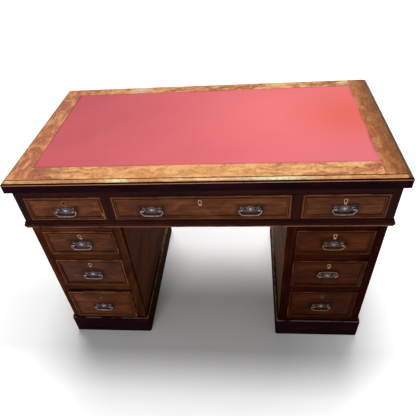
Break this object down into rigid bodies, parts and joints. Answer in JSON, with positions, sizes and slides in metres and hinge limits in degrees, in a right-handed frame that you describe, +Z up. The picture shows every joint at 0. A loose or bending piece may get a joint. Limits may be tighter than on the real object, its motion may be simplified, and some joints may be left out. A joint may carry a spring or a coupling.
{
  "type": "pedestal desk",
  "caption": "Twin-pedestal writing desk with a leather-inset top, a frieze of drawers, graduated pedestal drawers and swinging bail handles.",
  "frame": {"origin": "centre of the bounding box's footprint, on the floor", "axes": "+X to the sitter's right along the desk's width, -Y towards the sitter, +Z up"},
  "size_m": [1.22, 0.697, 0.775],
  "materials": {
    "border_wood": "french-polished golden brown figured wood, glossy, worn",
    "dark_wood": "almost black stained and polished wood",
    "front_wood": "red-brown polished figured wood",
    "case_wood": "plain brown wood of the ground board",
    "lining_wood": "raw pale drawer lining wood",
    "leather": "rose-red writing leather, satin",
    "pewter": "old nickel or pewter finish, tarnished in the recesses",
    "brass": "pale dulled brass"
  },
  "bodies": {
    "carcase": {"top_board": "case_wood", "top_border": "border_wood", "leather_inset": "leather", "top_edge_moulding": "border_wood", "frieze_front_frame": "dark_wood", "frieze_case": "dark_wood", "waist_moulding": "dark_wood", "left_pedestal_case": "dark_wood", "left_pedestal_front_frame": "dark_wood", "left_plinth": "dark_wood", "right_pedestal_case": "dark_wood", "right_pedestal_front_frame": "dark_wood", "right_plinth": "dark_wood", "drawer_runners": "lining_wood"},
    "frieze_left_drawer": {"frieze_left_drawer_front": "front_wood", "frieze_left_drawer_box": "lining_wood", "frieze_left_lock": "brass", "frieze_left_handle_plate": "pewter"},
    "frieze_left_bail": {"frieze_left_bail": "pewter"},
    "frieze_centre_drawer": {"frieze_centre_drawer_front": "front_wood", "frieze_centre_drawer_box": "lining_wood", "frieze_centre_lock": "brass", "frieze_centre_handle_plate": "pewter"},
    "frieze_centre_left_bail": {"frieze_centre_left_bail": "pewter"},
    "frieze_centre_right_bail": {"frieze_centre_right_bail": "pewter"},
    "frieze_right_drawer": {"frieze_right_drawer_front": "front_wood", "frieze_right_drawer_box": "lining_wood", "frieze_right_lock": "brass", "frieze_right_handle_plate": "pewter"},
    "frieze_right_bail": {"frieze_right_bail": "pewter"},
    "left_top_drawer": {"left_top_drawer_front": "front_wood", "left_top_drawer_box": "lining_wood", "left_top_lock": "brass", "left_top_handle_plate": "pewter"},
    "left_top_bail": {"left_top_bail": "pewter"},
    "left_middle_drawer": {"left_middle_drawer_front": "front_wood", "left_middle_drawer_box": "lining_wood", "left_middle_lock": "brass", "left_middle_handle_plate": "pewter"},
    "left_middle_bail": {"left_middle_bail": "pewter"},
    "left_bottom_drawer": {"left_bottom_drawer_front": "front_wood", "left_bottom_drawer_box": "lining_wood", "left_bottom_lock": "brass", "left_bottom_handle_plate": "pewter"},
    "left_bottom_bail": {"left_bottom_bail": "pewter"},
    "right_top_drawer": {"right_top_drawer_front": "front_wood", "right_top_drawer_box": "lining_wood", "right_top_lock": "brass", "right_top_handle_plate": "pewter"},
    "right_top_bail": {"right_top_bail": "pewter"},
    "right_middle_drawer": {"right_middle_drawer_front": "front_wood", "right_middle_drawer_box": "lining_wood", "right_middle_lock": "brass", "right_middle_handle_plate": "pewter"},
    "right_middle_bail": {"right_middle_bail": "pewter"},
    "right_bottom_drawer": {"right_bottom_drawer_front": "front_wood", "right_bottom_drawer_box": "lining_wood", "right_bottom_lock": "brass", "right_bottom_handle_plate": "pewter"},
    "right_bottom_bail": {"right_bottom_bail": "pewter"}
  },
  "joints": [
    {"name": "frieze_left_slide", "type": "slide", "parent": "carcase", "child": "frieze_left_drawer", "axis": [0, -1, 0], "range_m": [0, 0.4]},
    {"name": "frieze_left_bail_hinge", "type": "hinge", "parent": "frieze_left_drawer", "child": "frieze_left_bail", "pos_m": [-0.44, -0.3325, 0.6556], "axis": [-1, 0, 0], "range_deg": [-12, 195]},
    {"name": "frieze_centre_slide", "type": "slide", "parent": "carcase", "child": "frieze_centre_drawer", "axis": [0, -1, 0], "range_m": [0, 0.4]},
    {"name": "frieze_centre_left_bail_hinge", "type": "hinge", "parent": "frieze_centre_drawer", "child": "frieze_centre_left_bail", "pos_m": [-0.15539, -0.3325, 0.6556], "axis": [-1, 0, 0], "range_deg": [-12, 195]},
    {"name": "frieze_centre_right_bail_hinge", "type": "hinge", "parent": "frieze_centre_drawer", "child": "frieze_centre_right_bail", "pos_m": [0.15539, -0.3325, 0.6556], "axis": [-1, 0, 0], "range_deg": [-12, 195]},
    {"name": "frieze_right_slide", "type": "slide", "parent": "carcase", "child": "frieze_right_drawer", "axis": [0, -1, 0], "range_m": [0, 0.4]},
    {"name": "frieze_right_bail_hinge", "type": "hinge", "parent": "frieze_right_drawer", "child": "frieze_right_bail", "pos_m": [0.44, -0.3325, 0.6556], "axis": [-1, 0, 0], "range_deg": [-12, 195]},
    {"name": "left_top_slide", "type": "slide", "parent": "carcase", "child": "left_top_drawer", "axis": [0, -1, 0], "range_m": [0, 0.4]},
    {"name": "left_top_bail_hinge", "type": "hinge", "parent": "left_top_drawer", "child": "left_top_bail", "pos_m": [-0.4314, -0.3305, 0.50624], "axis": [-1, 0, 0], "range_deg": [-12, 195]},
    {"name": "left_middle_slide", "type": "slide", "parent": "carcase", "child": "left_middle_drawer", "axis": [0, -1, 0], "range_m": [0, 0.4]},
    {"name": "left_middle_bail_hinge", "type": "hinge", "parent": "left_middle_drawer", "child": "left_middle_bail", "pos_m": [-0.4314, -0.3305, 0.35438], "axis": [-1, 0, 0], "range_deg": [-12, 195]},
    {"name": "left_bottom_slide", "type": "slide", "parent": "carcase", "child": "left_bottom_drawer", "axis": [0, -1, 0], "range_m": [-0.014, 0.386]},
    {"name": "left_bottom_bail_hinge", "type": "hinge", "parent": "left_bottom_drawer", "child": "left_bottom_bail", "pos_m": [-0.4314, -0.3445, 0.18072], "axis": [-1, 0, 0], "range_deg": [-12, 195]},
    {"name": "right_top_slide", "type": "slide", "parent": "carcase", "child": "right_top_drawer", "axis": [0, -1, 0], "range_m": [0, 0.4]},
    {"name": "right_top_bail_hinge", "type": "hinge", "parent": "right_top_drawer", "child": "right_top_bail", "pos_m": [0.4314, -0.3305, 0.50624], "axis": [-1, 0, 0], "range_deg": [-12, 195]},
    {"name": "right_middle_slide", "type": "slide", "parent": "carcase", "child": "right_middle_drawer", "axis": [0, -1, 0], "range_m": [0, 0.4]},
    {"name": "right_middle_bail_hinge", "type": "hinge", "parent": "right_middle_drawer", "child": "right_middle_bail", "pos_m": [0.4314, -0.3305, 0.35438], "axis": [-1, 0, 0], "range_deg": [-202, 5]},
    {"name": "right_bottom_slide", "type": "slide", "parent": "carcase", "child": "right_bottom_drawer", "axis": [0, -1, 0], "range_m": [0, 0.4]},
    {"name": "right_bottom_bail_hinge", "type": "hinge", "parent": "right_bottom_drawer", "child": "right_bottom_bail", "pos_m": [0.4314, -0.3305, 0.18072], "axis": [-1, 0, 0], "range_deg": [-12, 195]}
  ]
}
